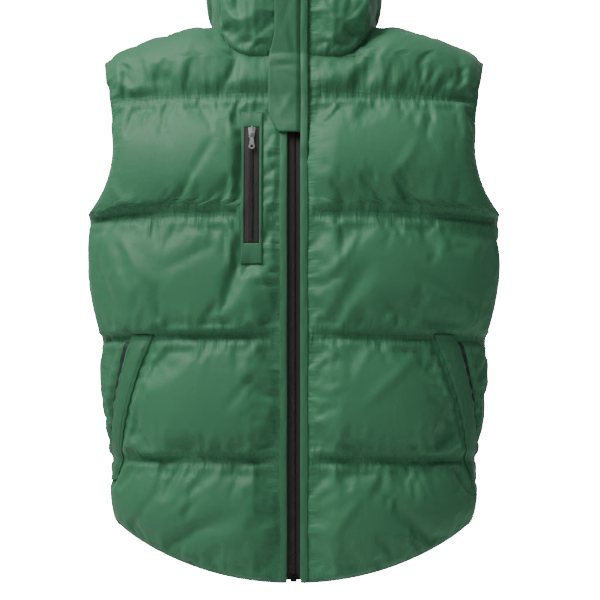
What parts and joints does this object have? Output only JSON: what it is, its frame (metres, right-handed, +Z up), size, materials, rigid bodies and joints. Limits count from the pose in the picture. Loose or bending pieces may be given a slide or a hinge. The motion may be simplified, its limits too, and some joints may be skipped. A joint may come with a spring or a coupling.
{
  "type": "puffer vest",
  "caption": "Quilted padded vest with stand collar, full-length front zip under a short storm flap, zipped chest pocket and slanted welt pockets.",
  "frame": {"origin": "midway between the two neck ends of the shoulder seams, where the garment is held when it hangs or is worn", "axes": "+Z up, -Y out of the front, +X to the wearer's left"},
  "size_m": [0.5124, 0.2524, 0.7866],
  "materials": {
    "shell": "fine woven nylon, padded and quilted",
    "lining": "dark woven nylon lining",
    "zip_tape": "dark woven zip tape",
    "zip_teeth": "dark moulded coil",
    "dark_metal": "black finished metal",
    "bright_metal": "bright plated metal"
  },
  "bodies": {
    "vest": {"front_right": "shell", "front_left": "shell", "back": "shell", "collar": "shell", "storm_flap": "shell", "placket_right": "shell", "placket_left": "shell", "hand_pocket_welt_right": "shell", "hand_pocket_welt_left": "shell", "chest_pocket_frame": "shell", "armhole_facing_right": "lining", "armhole_facing_left": "lining", "main_zip_tape_right": "zip_tape", "main_zip_tape_left": "zip_tape", "chest_zip_tape": "zip_tape", "main_zip_teeth": "zip_teeth", "chest_zip_teeth": "zip_teeth", "main_zip_bottom_stop": "dark_metal", "main_zip_slider": "bright_metal", "main_zip_pull": "bright_metal", "chest_zip_slider": "bright_metal"},
    "chest_zip_pull": {"chest_zip_pull": "bright_metal"}
  },
  "joints": [
    {"name": "chest_zip_pull_swing", "type": "hinge", "parent": "vest", "child": "chest_zip_pull", "pos_m": [-0.05026, -0.10948, -0.15077], "axis": [-1, 0, 0], "range_deg": [0, 150]}
  ]
}
